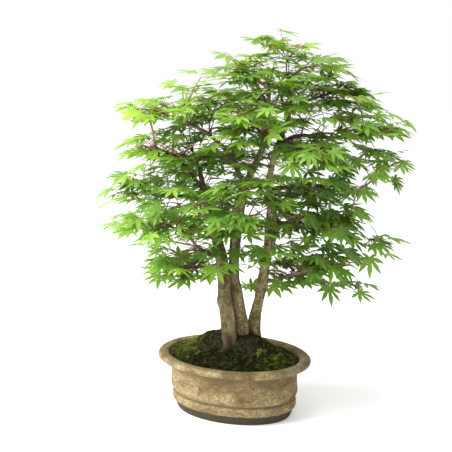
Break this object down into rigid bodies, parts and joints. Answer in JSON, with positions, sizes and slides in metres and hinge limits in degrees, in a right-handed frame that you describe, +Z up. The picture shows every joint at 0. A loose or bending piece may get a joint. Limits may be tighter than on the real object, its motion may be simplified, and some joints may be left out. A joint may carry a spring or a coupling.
{
  "type": "bonsai tree in a pot",
  "caption": "Clump-style maple bonsai with slim trunks and layered sprays of palmate leaves, on a mossy mound in an oval stoneware pot with a wide lip.",
  "frame": {"origin": "centre of the pot's flat underside", "axes": "+X along the pot's long axis, +Z up along the trunks; the tree's best side faces between -Y and +X, 21 degrees from -Y"},
  "size_m": [0.5447, 0.4019, 0.6428],
  "materials": {
    "pot_clay": "unglazed, mottled",
    "soil": "granular, damp",
    "moss": "soft, matte",
    "drain_mesh": "matte",
    "bark": "rough bark",
    "twig": "smooth young bark",
    "leaf": "thin, slightly glossy"
  },
  "bodies": {
    "root": {"pot": "pot_clay", "soil": "soil", "moss_left": "moss", "moss_front": "moss", "moss_right": "moss", "drain_screen_left": "drain_mesh", "drain_screen_right": "drain_mesh", "trunk_left": "bark", "trunk_middle": "bark", "trunk_right": "bark", "bough_left_top": "twig", "bough_left_upper": "twig", "bough_left_mid": "twig", "bough_left_low": "twig", "bough_left_bottom": "twig", "bough_front_low": "twig", "bough_back_low": "twig", "bough_right_low": "twig", "bough_right_mid": "twig", "bough_right_reach": "twig", "bough_back_right": "twig", "bough_right_upper": "twig", "bough_right_top": "twig", "bough_front_upper": "twig", "bough_back_upper": "twig", "bough_top_left": "twig", "bough_front_right": "twig", "leaves_crown": "leaf", "leaves_top_left": "leaf", "leaves_top_right": "leaf", "leaves_top_back": "leaf", "leaves_top_front": "leaf", "leaves_left_top_end": "leaf", "leaves_left_top": "leaf", "leaves_upper_back": "leaf", "leaves_upper_front": "leaf", "leaves_upper_right": "leaf", "leaves_right_top_end": "leaf", "leaves_right_upper_end": "leaf", "leaves_left_upper_end": "leaf", "leaves_left_upper": "leaf", "leaves_mid_back": "leaf", "leaves_front_right": "leaf", "leaves_right_reach": "leaf", "leaves_right_reach_end": "leaf", "leaves_left_mid_end": "leaf", "leaves_left_mid": "leaf", "leaves_front_mid": "leaf", "leaves_back_right": "leaf", "leaves_left_low_end": "leaf", "leaves_left_low": "leaf", "leaves_left_bottom": "leaf", "leaves_front_low": "leaf", "leaves_back_low": "leaf", "leaves_right_mid_end": "leaf", "leaves_right_mid": "leaf", "leaves_right_low_end": "leaf", "leaves_right_low": "leaf", "leaves_right_droop": "leaf"}
  },
  "joints": []
}
